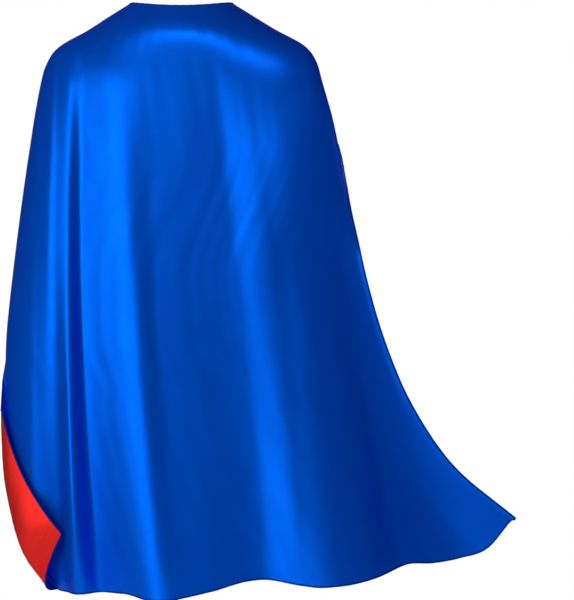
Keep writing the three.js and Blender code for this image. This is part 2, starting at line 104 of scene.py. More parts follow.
def guide(points):
    """A Catmull-Rom curve through the points, read by its share of the length."""
    points = np.array(points, float)
    padded = np.vstack([2 * points[0] - points[1], points, 2 * points[-1] - points[-2]])
    place = np.linspace(0, len(points) - 1, GUIDE_STEPS + 1)
    piece = np.minimum(place.astype(int), len(points) - 2)
    part = (place - piece)[:, None]
    before, start, end, after = (padded[piece + k] for k in range(4))
    slope_in, slope_out = (end - before) / 2, (after - start) / 2
    curve = (
        (2 * start - 2 * end + slope_in + slope_out) * part**3
        + (-3 * start + 3 * end - 2 * slope_in - slope_out) * part**2
        + slope_in * part
        + start
    )
    lengths = np.concatenate([[0], np.cumsum(np.linalg.norm(np.diff(curve, axis=0), axis=1))])

    def at(share):
        wanted = np.asarray(share) * lengths[-1]
        return np.stack([np.interp(wanted, lengths, curve[:, k]) for k in range(3)], axis=-1)

    return at


def back_points():
    upper = [(0, 0), (0.03, 0.38), (0.062, 0.62), (0.12, 0.82), (0.2, 0.93), (0.34, 0.99)]
    points = [(0, -mix(NECK_BACK, BACK_DEPTH, out), -drop * BACK_DROP) for drop, out in upper]
    points.append((0, -mix(BACK_DEPTH, HEM_DEPTH, 0.5), -0.74 * BACK_DROP))
    points.append((0, -HEM_DEPTH, -BACK_DROP))
    return points


def shoulder_points(sign):
    line = [(0, 0), (0.25, 0.24), (0.55, 0.53), (0.9, 0.83), (1.06, 1.14), (1.15, 1.6)]
    return [
        (sign * mix(NECK_HALF, SHOULDER_HALF, out), 0, mix(CAPE_TOP, -SHOULDER_DROP, down))
        for out, down in line
    ]


def side_points(sign, reach, drop, line):
    return [
        (sign * mix(reach[0], reach[1], out), 0, mix(-SHOULDER_DROP, -drop, down))
        for out, down in line
    ]


back_guide = guide(back_points())
left_side = guide(
    shoulder_points(-1)
    + side_points(
        -1,
        (SHOULDER_HALF, LEFT_BULGE),
        BACK_DROP - HEM_RISE_LEFT,
        [(0.45, 0.17), (0.68, 0.32), (0.9, 0.49), (1.01, 0.62)],
    )
    + side_points(
        -1,
        (HEM_REACH_LEFT, LEFT_BULGE),
        BACK_DROP - HEM_RISE_LEFT,
        [(1, 0.71), (0.86, 0.82), (0.5, 0.93), (0, 1)],
    )
)
right_side = guide(
    shoulder_points(1)
    + side_points(
        1,
        (SHOULDER_HALF, HEM_REACH_RIGHT),
        BACK_DROP - HEM_RISE_RIGHT,
        [
            (0.125, 0.18),
            (0.21, 0.37),
            (0.275, 0.5),
            (0.365, 0.63),
            (0.495, 0.76),
            (0.7, 0.89),
            (1, 1),
        ],
    )
)


def edge_guide(sign, side, inset):
    line = [
        (0, 45, 0),
        (0, 45.3, -12),
        (0.02, 47, -25),
        (0.17, 54, -40),
        (0.45, 53, -58),
        (0.77, 39, -80),
        (0.97, 26, -124),
    ]
    points = [
        (sign * mix(THROAT_HALF, SHOULDER_HALF, out), depth * MM, height * MM - THROAT_DROP)
        for out, depth, height in line
    ]
    for share in (0.3, 0.42, 0.55, 0.7, 0.85, 1):
        points.append(side(share) + np.array([-sign * inset, 14, 0]) * MM)
    return guide(points)


# Where each side's edge turns from the front to the back, how full and how deep its rows are, and
# how far the edge turns over, in mm.
SIDES = [
    dict(
        sign=-1,
        side=left_side,
        curl=(0.57, 0.71),
        full=(0.45, 0.7),
        depth=(-14 * MM, -14 * MM),
        deep=(0.3, 1),
        flip=(5, 13),
        inset=3,
        level=0,
    ),
    dict(
        sign=1,
        side=right_side,
        curl=(0.25, 0.5),
        full=(0.4, 0.6),
        depth=(-50 * MM, -20 * MM),
        deep=(0, 0.3),
        flip=(5, 1),
        inset=0,
        level=1,
    ),
]
for side in SIDES:
    side["edge"] = edge_guide(side["sign"], side["side"], side["inset"])

# The folds of the back, left to right: places across near the top, in the middle and at the hem,
# as shares of the reach of that side; and their heights there in mm.
FOLDS = [
    ((-0.81, -1.01, -0.83), (0, 3, 0)),
    ((-0.75, -0.83, -0.79), (2, 7, -8)),
    ((-0.72, -0.785, -0.76), (1, 6.5, -16)),
    ((-0.695, -0.735, -0.72), (1, 6.5, -22)),
    ((-0.67, -0.69, -0.65), (-1, 4.5, -22)),
    ((-0.61, -0.62, -0.57), (1, 6, 10)),
    ((-0.52, -0.545, -0.43), (-1, -12, -26)),
    ((-0.37, -0.26, -0.1), (0.5, -3.5, -1)),
    ((-0.16, -0.13, 0.03), (-1, -10.5, -6)),
    ((-0.04, 0, 0.1), (-2, -13, -12)),
    ((0.06, 0.17, 0.25), (0, -17, -26)),
    ((0.17, 0.29, 0.36), (4, -2, -16)),
    ((0.3, 0.38, 0.49), (10, 12, -3)),
    ((0.34, 0.43, 0.56), (11, 14, -2)),
    ((0.38, 0.49, 0.66), (14, 10, -20)),
    ((0.41, 0.55, 0.78), (15, 6, -17)),
    ((0.44, 0.62, 1), (10, 3, 2)),
]
# How far the hem lifts in mm, at shares of the reach at the hem.
HEM_LIFTS = [
    (-1, 0),
    (-0.77, 4),
    (-0.6, 7),
    (-0.45, 7),
    (-0.2, 0),
    (-0.05, 1),
    (0.095, 11),
    (0.2, 22),
    (0.25, 24),
    (0.36, 17),
    (0.43, 13.5),
    (0.5, 14),
    (0.6, 18),
    (0.68, 23),
    (0.76, 13),
    (0.85, 1),
    (0.93, -10),
    (1, -4),
]
FOLD_START = 0.1
TOP_SHARE, MIDDLE_SHARE = 0.09, 0.5


def through_three(values, share):
    """A parabola through the values near the top, in the middle and at the hem."""
    top, middle, low = values
    a, b, c = TOP_SHARE, MIDDLE_SHARE, 1
    return (
        top * (share - b) * (share - c) / ((a - b) * (a - c))
        + middle * (share - a) * (share - c) / ((b - a) * (b - c))
        + low * (share - a) * (share - b) / ((c - a) * (c - b))
    )


def chain(value, places, heights):
    """A smooth line through the heights that never overshoots them."""
    wide = [places[k + 1] - places[k] for k in range(len(places) - 1)]
    slope = [(heights[k + 1] - heights[k]) / wide[k] for k in range(len(wide))]
    level = slope[0] * 0
    turn = [level]
    for before, after in zip(slope, slope[1:]):
        sum_of = np.where(before * after > 0, before + after, 1)
        turn.append(np.where(before * after > 0, 2 * before * after / sum_of, 0))
    turn.append(level)
    total = np.broadcast_to(heights[0], value.shape).copy()
    for k in range(len(wide)):
        part = np.clip((value - places[k]) / wide[k], 0, 1)
        step = (heights[k + 1] - heights[k]) * part**2 * (3 - 2 * part)
        bend = turn[k] * part * (1 - part) ** 2 + turn[k + 1] * part**2 * (part - 1)
        total += step + wide[k] * bend
    return total


def folds_at(x, share, reach):
    """Height towards the back and lift of the folds, for each x of each row."""
    places = []
    for at, _ in FOLDS:
        place = through_three(at, share)
        places.append(place * np.where(place < 0, LEFT_BULGE, HEM_REACH_RIGHT))
    heights = [through_three(height, share) * MM for _, height in FOLDS]
    height = chain(x, places, heights) * smooth(share, 0, FOLD_START)
    lift = chain(x / reach, [at for at, _ in HEM_LIFTS], [up * MM for _, up in HEM_LIFTS])
    return height, lift * share**2


PATH_STEPS = 120
EDGE_STEPS = 40
EDGE_TURN = math.radians(70)
HEM_SWEEP = 2.6
LEVEL_FROM = 0.35


def half_rows(side, shares):
    """One side of each row, from the centre of the back to the free edge."""
    share = shares[:, None]
    back, widest = back_guide(shares), side["side"](shares)
    curl = smooth(shares, *side["curl"])
    square = 2 * mix(*side["full"], smooth(share, 0.25, 1))
    turn = widest.copy()
    turn[:, 0] -= side["sign"] * side["flip"][0] * MM * curl
    deep = smooth(shares, *side["deep"])
    turn[:, 1] = mix(*side["depth"], smooth(shares, 0.5, 1)) * deep
    curled = np.stack([widest[:, 0], turn[:, 1] - side["flip"][1] * MM, widest[:, 2]], axis=1)
    end = mix(side["edge"](shares), curled, curl[:, None])
    angle = np.linspace(0, math.pi / 2, PATH_STEPS + 1)[None, :]
    across = np.sin(angle)
    x = mix(back[:, :1], turn[:, :1], across)
    round_part = 1 - np.maximum(np.cos(angle), 0) ** square
    level_part = smooth(across, LEVEL_FROM, 1)
    y = mix(back[:, 1:2], turn[:, 1:2], mix(round_part, level_part, side["level"] * curl[:, None]))
    z = mix(back[:, 2:], turn[:, 2:], across ** (2 + HEM_SWEEP * share))
    reach = abs(turn[:, :1])
    height, lift = folds_at(x, share, reach)
    body = np.stack([x, y - height, z + lift], axis=2)
    part = (np.arange(1, EDGE_STEPS + 1) / EDGE_STEPS)[None, :]
    across = (1 - np.cos(part * EDGE_TURN)) / (1 - math.cos(EDGE_TURN))
    along = np.sin(part * EDGE_TURN) / math.sin(EDGE_TURN)
    curl = curl[:, None]
    keep = mix(1 - part, 1, curl)
    last_height, last_lift = folds_at(turn[:, :1], share, reach)
    edge = np.stack(
        [
            mix(turn[:, :1], end[:, :1], mix(across, along, curl)),
            mix(turn[:, 1:2], end[:, 1:2], mix(along, across, curl)) - last_height * keep,
            mix(turn[:, 2:], end[:, 2:], mix(across, part, curl)) + last_lift * keep,
        ],
        axis=2,
    )
    return np.concatenate([body, edge], axis=1)


def evenly(rows, columns):
    """The same rows with evenly spaced points."""
    lengths = np.linalg.norm(np.diff(rows, axis=1), axis=2).cumsum(axis=1)
    lengths = np.concatenate([np.zeros((len(rows), 1)), lengths], axis=1)
    out = np.empty((len(rows), columns + 1, 3))
    for j, row in enumerate(rows):
        wanted = np.linspace(0, lengths[j, -1], columns + 1)
        for k in range(3):
            out[j, :, k] = np.interp(wanted, lengths[j], row[:, k])
    return out


SOFTEN_STEPS, SOFTEN_TIMES = 480, 6


def sheet_rows(shares, columns):
    """The rows of the whole sheet, left edge to right edge, softened along each row."""
    left, right = (half_rows(side, shares) for side in SIDES)
    rows = evenly(np.concatenate([left[:, ::-1], right[:, 1:]], axis=1), SOFTEN_STEPS)
    for _ in range(SOFTEN_TIMES):
        rows[:, 1:-1] = rows[:, 1:-1] / 2 + (rows[:, :-2] + rows[:, 2:]) / 4
    return evenly(rows, columns)


def normals_of(grid):
    down = np.gradient(grid, axis=0)
    across = np.gradient(grid, axis=1)
    normal = np.cross(down, across)
    return normal / np.linalg.norm(normal, axis=2, keepdims=True)


# ---- Meshes ----


def grid_mesh(name, grid, outward=True):
    """A smooth sheet on a grid of points, with its cloth coordinates in metres."""
    rows, columns = grid.shape[:2]
    index = np.arange(rows * columns).reshape(rows, columns)
    quads = np.stack([index[:-1, :-1], index[1:, :-1], index[1:, 1:], index[:-1, 1:]], axis=2)
    if not outward:
        quads = quads[:, :, ::-1]
    mesh = bpy.data.meshes.new(name)
    mesh.from_pydata(grid.reshape(-1, 3).tolist(), [], quads.reshape(-1, 4).tolist())
    mesh.shade_smooth()
    widths = np.linalg.norm(np.diff(grid, axis=1), axis=2).mean()
    heights = np.linalg.norm(np.diff(grid, axis=0), axis=2).mean(axis=1)
    u = np.broadcast_to(np.arange(columns) * widths, (rows, columns))
    v = np.broadcast_to(-np.concatenate([[0], heights.cumsum()])[:, None], (rows, columns))
    loops = np.empty(len(mesh.loops), int)
    mesh.loops.foreach_get("vertex_index", loops)
    places = np.stack([u, v], axis=2).reshape(-1, 2)[loops]
    mesh.uv_layers.new(name="Cloth").data.foreach_set("uv", places.ravel().astype(np.float32))
    return new_object(name, mesh)


def new_object(name, mesh):
    made = bpy.data.objects.new(name, mesh)
    bpy.context.scene.collection.objects.link(made)
    return made


BEAD_SIDES = 12


def bead(name, points, outwards, radius=SEAM_RADIUS, flat=0.72):
    """A rolled edge: a slightly flat, slightly uneven tube along a line of points."""
    points = np.asarray(points)
    along = np.gradient(points, axis=0)
    along /= np.linalg.norm(along, axis=1, keepdims=True)
    out = outwards - (outwards * along).sum(axis=1, keepdims=True) * along
    out /= np.linalg.norm(out, axis=1, keepdims=True)
    up = np.cross(along, out)
    lengths = np.concatenate([[0], np.linalg.norm(np.diff(points, axis=0), axis=1).cumsum()])
    uneven = np.array([noise.noise(Vector((d * 260, 3.1, 0.7))) for d in lengths])
    size = (radius * (1 + 0.1 * uneven))[:, None, None]
    angle = np.linspace(0, 2 * math.pi, BEAD_SIDES, endpoint=False)[None, :, None]
    rings = (
        (points + out * radius * 0.35)[:, None, :]
        + out[:, None, :] * np.cos(angle) * size
        + up[:, None, :] * np.sin(angle) * size * flat
    )
    count = len(points)
    index = np.arange(count * BEAD_SIDES).reshape(count, BEAD_SIDES)
    after = np.roll(index, -1, axis=1)
    quads = np.stack([index[:-1], after[:-1], after[1:], index[1:]], axis=2).reshape(-1, 4)
    faces = quads.tolist() + [index[0, ::-1].tolist(), index[-1].tolist()]
    mesh = bpy.data.meshes.new(name)
    mesh.from_pydata(rings.reshape(-1, 3).tolist(), [], faces)
    mesh.shade_smooth()
    loops = np.empty(len(mesh.loops), int)
    mesh.loops.foreach_get("vertex_index", loops)
    ring, place = np.divmod(loops, BEAD_SIDES)
    places = np.stack([lengths[ring], place * radius * 0.5], axis=1)
    mesh.uv_layers.new(name="Cloth").data.foreach_set("uv", places.ravel().astype(np.float32))
    return new_object(name, mesh)


# ---- Materials ----


class Nodes:
    """Short-hand for building one node-based material."""

    def __init__(self, name):
        self.material = bpy.data.materials.new(name)
        self.material.use_nodes = True
        self.tree = self.material.node_tree
        self.shader = self.tree.nodes["Principled BSDF"]

    def add(self, kind, **values):
        node = self.tree.nodes.new(kind)
        for key, value in values.items():
            if key in node.inputs:
                node.inputs[key].default_value = value
            else:
                setattr(node, key, value)
        return node

    def link(self, source, target):
        self.tree.links.new(source, target)

    def set(self, **values):
        for key, value in values.items():
            self.shader.inputs[key.replace("_", " ")].default_value = value


def noise_texture(nodes, place, scale, detail=2.0, roughness=0.5):
    texture = nodes.add("ShaderNodeTexNoise", Scale=scale, Detail=detail, Roughness=roughness)
    nodes.link(place, texture.inputs["Vector"])
    return texture.outputs["Fac"]


def satin(name, deep, sheen_tone, roughness):
    """Polyester satin: long floats along the length, so it shines in soft vertical streaks. These
    streaks are painted sheen in the base colour, mixed between the deep colour and a lighter sheen
    tone; the same noise also drives the bump.
    """
    nodes = Nodes(name)
    cloth = nodes.add("ShaderNodeUVMap", uv_map="Cloth").outputs["UV"]
    sheen_streak_mapping = nodes.add("ShaderNodeMapping", Scale=(45, 1300, 1))
    nodes.link(cloth, sheen_streak_mapping.inputs["Vector"])
    sheen_and_grain_streak = noise_texture(nodes, sheen_streak_mapping.outputs["Vector"], 1.0, 3.0)
    broad = noise_texture(nodes, cloth, 22.0, 3.0)
    # Painted sheen: the base colour runs in streaks from the deep colour to the lighter sheen tone.
    colour = nodes.add("ShaderNodeMix", data_type="RGBA")
    nodes.link(sheen_and_grain_streak, colour.inputs["Factor"])
    colour.inputs["A"].default_value = (*deep, 1)
    colour.inputs["B"].default_value = (*sheen_tone, 1)
    nodes.link(colour.outputs["Result"], nodes.shader.inputs["Base Color"])
    rough = nodes.add("ShaderNodeMapRange")
    nodes.link(broad, rough.inputs["Value"])
    rough.inputs["To Min"].default_value = roughness - 0.05
    rough.inputs["To Max"].default_value = roughness + 0.06
    nodes.link(rough.outputs["Result"], nodes.shader.inputs["Roughness"])
    weave = nodes.add("ShaderNodeTexWave", Scale=1.0, Distortion=1.2, Detail=1.0)
    threads = nodes.add("ShaderNodeMapping", Scale=(420, 260, 1))
    threads.inputs["Rotation"].default_value = (0, 0, 0.5)
    nodes.link(cloth, threads.inputs["Vector"])
    nodes.link(threads.outputs["Vector"], weave.inputs["Vector"])
    grain = nodes.add("ShaderNodeMath", operation="ADD")
    nodes.link(weave.outputs["Fac"], grain.inputs[0])
    nodes.link(sheen_and_grain_streak, grain.inputs[1])
    bump = nodes.add("ShaderNodeBump", Strength=0.12, Distance=0.00015)
    nodes.link(grain.outputs["Value"], bump.inputs["Height"])
    nodes.link(bump.outputs["Normal"], nodes.shader.inputs["Normal"])
    nodes.set(Metallic=0.62, Specular_IOR_Level=0.1, Anisotropic=0.3, Specular_Tint=(*sheen_tone, 1))
    return nodes.material


# Deep is each satin's own colour; the sheen tone is lighter, painted in streaks as sheen and also
# used as the gloss tint.
BLUE_DEEP, BLUE_SHEEN_TONE = (0.0003, 0.095, 0.74), (0.0006, 0.125, 0.88)
RED_DEEP, RED_SHEEN_TONE = (0.70, 0.012, 0.012), (0.9, 0.042, 0.032)
# The seam satin is a darker copy of the blue satin: painted shade along the rolled edges.
SEAM_SHADE_DEEP, SEAM_SHADE_SHEEN_TONE = (0.0003, 0.030, 0.27), (0.0006, 0.045, 0.36)
outer_satin = satin("outer_satin_blue", BLUE_DEEP, BLUE_SHEEN_TONE, 0.38)
lining_satin = satin("lining_satin_red", RED_DEEP, RED_SHEEN_TONE, 0.42)
seam_shade_satin = satin("seam_satin_blue_painted_shade", SEAM_SHADE_DEEP, SEAM_SHADE_SHEEN_TONE, 0.5)


def dress(piece, material):
    piece.data.materials.clear()
    piece.data.materials.append(material)


# ---- The two panels ----

above = CORNER_START * np.linspace(0, 1, ROWS_ABOVE + 1) ** ROW_GROWTH
shares = np.concatenate([above, np.linspace(CORNER_START, 1, ROWS_BELOW + 1)[1:]])
main_grid = sheet_rows(shares, COLUMNS)

CREASE_DEPTH, CREASE_START = 0.32 * MM, 50 * MM
PUCKER_DEPTH, PUCKER_REACH = 0.3 * MM, 6 * MM
DENT_DEPTH = 2.2 * MM


def wrinkled(grid):
    """Faint long creases that fan out with the cloth, and a pucker along each sewn border."""
    normals = normals_of(grid)
    rows, columns = grid.shape[:2]
    steps = np.linalg.norm(np.diff(grid, axis=0), axis=2).mean(axis=1)
    down = np.concatenate([[0], steps.cumsum()])
    widths = np.linalg.norm(np.diff(grid, axis=1), axis=2).sum(axis=1)
    out = grid.copy()
    for j in range(rows):
        for i in range(columns):
            across = i / (columns - 1)
            place = Vector((across * 38, down[j] * 5, 1.3))
            fine = Vector((across * widths[j] * 170, down[j] * 150, 6.2))
            side = min(across, 1 - across) * widths[j]
            sewn = min(side, down[j], down[-1] - down[j])
            crease = CREASE_DEPTH * noise.noise(place) * min(1, down[j] / CREASE_START)
            pucker = PUCKER_DEPTH * noise.noise(fine) * math.exp(-sewn / PUCKER_REACH)
            out[j, i] += normals[j, i] * (crease + pucker)
    return out


main_grid = wrinkled(main_grid)
main_normals = normals_of(main_grid)


def corner_grid():
    """The corner that is turned back over its fold, from its free edge to the fold."""
    fold = main_grid[ROWS_ABOVE:, 0]
    part = np.linspace(0, 1, len(fold))[:, None]
    towards_back = np.array([0, -1, 0])
    tip = fold[-1] + CORNER_TIP
    top = fold[0] + towards_back * CORNER_TOP_WIDTH
    free = mix(top, tip, part) + CORNER_BOW * 4 * part * (1 - part)
    width = np.linalg.norm(free - fold, axis=1)[:, None]
    control = fold + towards_back * CORNER_ROLL * width + CORNER_HEM_BOW * part
    q = np.linspace(1, 0, CORNER_COLUMNS + 1)[None, :, None]
    fold, control, free = (line[:, None, :] for line in (fold, control, free))
    return fold * (1 - q) ** 2 + control * 2 * q * (1 - q) + free * q**2


turned_grid = corner_grid()


def dented(grid):
    """Soft dents in the turned-back corner, none at its fold."""
    normals = normals_of(grid)
    out = grid.copy()
    rows, columns = grid.shape[:2]
    for j in range(rows):
        for i in range(columns):
            x, y, z = grid[j, i]
            free = (1 - i / (columns - 1)) * min(1, j / rows * 4)
            dent = noise.noise(Vector((x * 30, z * 16, 2.4)))
            out[j, i] += normals[j, i] * DENT_DEPTH * dent * min(1, free * 2.5)
    return out


turned_grid = dented(turned_grid)
turned_normals = normals_of(turned_grid)


def layer(grid, normals, distance):
    return grid + normals * distance


outer_cloth = grid_mesh("outer_panel", layer(main_grid, main_normals, PANEL_OFFSET))
lining_cloth = grid_mesh("lining_panel", layer(main_grid, main_normals, -PANEL_OFFSET), False)
outer_turned = grid_mesh("outer_panel_turned", layer(turned_grid, turned_normals, PANEL_OFFSET))
lining_turned = grid_mesh(
    "lining_panel_turned", layer(turned_grid, turned_normals, -PANEL_OFFSET), False
)
dress(outer_cloth, outer_satin)
dress(outer_turned, outer_satin)
dress(lining_cloth, lining_satin)
dress(lining_turned, lining_satin)

# ---- The rolled edges ----

TAB_FOOT = 24 * MM
throat_top = main_grid[0, 0, 2]
tab_row = int(np.argmax(main_grid[:, 0, 2] < throat_top - TAB_FOOT))


def edge_bead(name, line, inner):
    """The rolled seam along a border, bulging away from the line of points inside it, dressed in the
    darker seam satin as painted shade.
    """
    outwards = line - inner
    outwards /= np.linalg.norm(outwards, axis=1, keepdims=True)
    made = bead(name, line, outwards)
    dress(made, seam_shade_satin)
    return made


neckline = edge_bead("neckline_edge", main_grid[0], main_grid[3])
hem = edge_bead("hem_edge", main_grid[-1], main_grid[-4])
left_edge = edge_bead(
    "left_front_edge",
    main_grid[tab_row : ROWS_ABOVE + 1, 0],
    main_grid[tab_row : ROWS_ABOVE + 1, 3],
)
right_edge = edge_bead("right_front_edge", main_grid[tab_row:, -1], main_grid[tab_row:, -4])
turned_edge = edge_bead("turned_front_edge", turned_grid[:, 0], turned_grid[:, 3])
turned_hem = edge_bead("turned_hem_edge", turned_grid[-1], turned_grid[-4])

# ---- The closure at the throat ----


def slab(name, line, low, high, thickness, steps, edge=0.5, puff=0.0, seed=0.0):
    """A strip of doubled cloth on edge: its plan runs along a line, and its borders are rounded."""
    line = np.array([(x, y, 0) for x, y in line], float)
    lengths = np.concatenate([[0], np.linalg.norm(np.diff(line, axis=0), axis=1).cumsum()])
    u_steps, v_steps = steps
    u = np.sin(np.linspace(-0.5, 0.5, u_steps + 1) * math.pi) / 2 + 0.5
    v = np.sin(np.linspace(-0.5, 0.5, v_steps + 1) * math.pi) / 2 + 0.5
    plan = np.stack([np.interp(u * lengths[-1], lengths, line[:, k]) for k in range(2)], axis=1)
    along = np.gradient(plan, axis=0)
    along /= np.linalg.norm(along, axis=1, keepdims=True)
    out = np.stack([-along[:, 1], along[:, 0]], axis=1)
    u_edge = np.minimum(u, 1 - u) * lengths[-1]
    v_edge = np.minimum(v, 1 - v) * (high - low)
    border = np.minimum(u_edge[:, None], v_edge[None, :])
    swell = np.sqrt(np.clip(1 - (1 - np.clip(border / thickness, 0, 1)) ** 2, 0, 1))
    half = thickness / 2 * mix(edge, 1, swell)
    places, sides = [], []
    for side in (1, -1):
        for i in range(u_steps + 1):
            for j in range(v_steps + 1):
                z = mix(low, high, v[j])
                ripple = noise.noise(Vector((u[i] * 5 + seed, v[j] * 4, side * 2.0)))
                reach = half[i, j] * (1 + puff * ripple)
                x, y = plan[i] + out[i] * side * reach
                places.append((x, y, z))
                sides.append((u[i] * lengths[-1], z - low))
    count = (u_steps + 1) * (v_steps + 1)
    at = np.arange(count).reshape(u_steps + 1, v_steps + 1)
    face = np.stack([at[:-1, :-1], at[:-1, 1:], at[1:, 1:], at[1:, :-1]], axis=2).reshape(-1, 4)
    faces = face.tolist() + (face[:, ::-1] + count).tolist()
    rim = [*at[:, 0], *at[-1, 1:], *at[-2::-1, -1], *at[0, -2:0:-1]]
    rim = [int(corner) for corner in rim]
    for a, b in zip(rim, rim[1:] + rim[:1]):
        faces.append([a, b, b + count, a + count])
    mesh = bpy.data.meshes.new(name)
    mesh.from_pydata(places, [], faces)
    mesh.shade_smooth()
    layer = mesh.uv_layers.new(name="Cloth")
    for loop in mesh.loops:
        layer.data[loop.index].uv = sides[loop.vertex_index]
    return new_object(name, mesh)


def tubes(name, lines, radius, corners=5):
    """Many short threads as one mesh."""
    places, faces = [], []
    for line in lines:
        line = np.asarray(line, float)
        along = np.gradient(line, axis=0)
        along /= np.linalg.norm(along, axis=1, keepdims=True)
        helper = np.array([0.31, 0.17, 0.93])
        out = np.cross(along, helper)
        out /= np.linalg.norm(out, axis=1, keepdims=True)
        up = np.cross(along, out)
        first = len(places)
        for k in range(len(line)):
            for c in range(corners):
                turn = 2 * math.pi * c / corners
                places.append(line[k] + radius * (out[k] * math.cos(turn) + up[k] * math.sin(turn)))
        for k in range(len(line) - 1):
            for c in range(corners):
                a, b = first + k * corners + c, first + k * corners + (c + 1) % corners
                faces.append([a, b, b + corners, a + corners])
        last = first + (len(line) - 1) * corners
        faces.append([first + c for c in reversed(range(corners))])
        faces.append([last + c for c in range(corners)])
    mesh = bpy.data.meshes.new(name)
    mesh.from_pydata([tuple(p) for p in places], [], faces)
    mesh.shade_smooth()
    return new_object(name, mesh)


def tape(name, colour, other, roughness, sheen):
    """Woven nylon tape, with a fine grain."""
    nodes = Nodes(name)
    place = nodes.add("ShaderNodeTexCoord").outputs["Object"]
    grain = noise_texture(nodes, place, 2600.0, 3.0)
    tone = nodes.add("ShaderNodeMix", data_type="RGBA")
    nodes.link(grain, tone.inputs["Factor"])
    tone.inputs["A"].default_value = (*colour, 1)
    tone.inputs["B"].default_value = (*other, 1)
    nodes.link(tone.outputs["Result"], nodes.shader.inputs["Base Color"])
    bump = nodes.add("ShaderNodeBump", Strength=0.5, Distance=0.0001)
    nodes.link(grain, bump.inputs["Height"])
    nodes.link(bump.outputs["Normal"], nodes.shader.inputs["Normal"])
    nodes.set(Roughness=roughness, Sheen_Weight=sheen, Sheen_Roughness=0.5)
    return nodes.material


loop_tape = tape("loop_tape_blue", (0.004, 0.02, 0.14), (0.01, 0.05, 0.26), 0.9, 0.5)
hook_tape = tape("hook_tape_blue", (0.004, 0.018, 0.12), (0.008, 0.035, 0.2), 0.45, 0.05)
thread = tape("thread_blue", (0.006, 0.05, 0.3), (0.014, 0.09, 0.5), 0.55, 0.2)
label_tape = tape("label_tape_white", (0.78, 0.78, 0.75), (0.9, 0.9, 0.87), 0.6, 0.3)

left_low, left_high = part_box("left_closure_tab")
right_low, right_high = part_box("right_closure_tab")
TAB_THICKNESS = left_high[1] - left_low[1]
TAB_BEND = 8 * MM
bend = np.linspace(0, 1, 13)


def tab_plan():
    """The right tab's middle line: it lies over the left one and comes back to its own edge."""
    flat_y, root_y = right_high[1] - TAB_THICKNESS / 2, right_low[1] + TAB_THICKNESS / 2
    line = [(right_low[0], flat_y)]
    for part in bend:
        x = mix(right_high[0] - 1.2 * TAB_BEND, right_high[0], part)
        line.append((x, mix(flat_y, root_y, part * part * (3 - 2 * part))))
    return line


left_middle = (left_low[1] + left_high[1]) / 2
left_tab = slab(
    "left_tab",
    [(left_low[0], left_middle), (left_high[0], left_middle)],
    left_low[2],
    left_high[2],
    TAB_THICKNESS,
    (60, 36),
    puff=0.22,
)
right_tab = slab(
    "right_tab",
    tab_plan(),
    right_low[2],
    right_high[2],
    TAB_THICKNESS,
    (60, 36),
    puff=0.22,
    seed=7.0,
)
dress(left_tab, outer_satin)
dress(right_tab, outer_satin)

BACKING = 0.35 * MM  # of each patch, below its hooks or loops
PILE_STEP = 0.85 * MM


def pile(name, box, facing, shape):
    """Rows of small hooks or loops on a patch. facing: +1 towards the front, -1 to the back."""
    low, high = box
    root = (low[1] if facing > 0 else high[1]) + facing * BACKING * 0.8
    tall = high[1] - low[1] - BACKING
    spots = []
    x_count = int((high[0] - low[0] - 1.2 * MM) / PILE_STEP)
    z_count = int((high[2] - low[2] - 1.2 * MM) / PILE_STEP)
    for i in range(x_count + 1):
        for j in range(z_count + 1):
            x = (low[0] + high[0]) / 2 + (i - x_count / 2) * PILE_STEP
            z = (low[2] + high[2]) / 2 + (j - z_count / 2) * PILE_STEP
            turn = noise.noise(Vector((i * 1.7, j * 2.3, 4.1)))
            spots.append(shape(x, root, z, facing * tall, turn))
    return tubes(name, spots, 0.075 * MM)


def hook_at(x, y, z, tall, _):
    """The line of one moulded hook. Every hook points the same way."""
    steps = [(0, 0), (0, 0.45), (0.04, 0.75), (0.14, 0.92), (0.26, 0.86), (0.32, 0.68)]
    return [(x, y + up * tall, z + out * MM) for out, up in steps]


def loop_at(x, y, z, tall, turn):
    """The line of one loop of the nap, turned its own way."""
    angle = turn * 6
    dx, dz = math.cos(angle) * 0.34 * MM, math.sin(angle) * 0.34 * MM
    steps = [(-1, 0), (-0.9, 0.5), (-0.45, 0.88), (0.1, 0.94), (0.65, 0.7), (0.9, 0.2), (0.8, 0)]
    return [(x + dx * side, y + up * tall * (1 + 0.15 * turn), z + dz * side) for side, up in steps]


def patch_base(name, box, facing):
    """The woven backing that a patch's hooks or loops stand on."""
    low, high = box
    back = low[1] if facing > 0 else high[1] - BACKING
    middle = back + BACKING / 2
    line = [(low[0], middle), (high[0], middle)]
    return slab(name, line, low[2], high[2], BACKING, (24, 24), edge=0.6)


loop_box, hook_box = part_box("loop_patch"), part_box("hook_patch")
loop_base = patch_base("loop_tape_patch", loop_box, 1)
hook_base = patch_base("hook_tape_patch", hook_box, -1)
loops = pile("loops", loop_box, 1, loop_at)
hooks = pile("hooks", hook_box, -1, hook_at)
for piece in (loop_base, loops):
    dress(piece, loop_tape)
for piece in (hook_base, hooks):
    dress(piece, hook_tape)

STITCH_LENGTH, STITCH_STEP, STITCH_RADIUS = 1.9 * MM, 2.4 * MM, 0.17 * MM


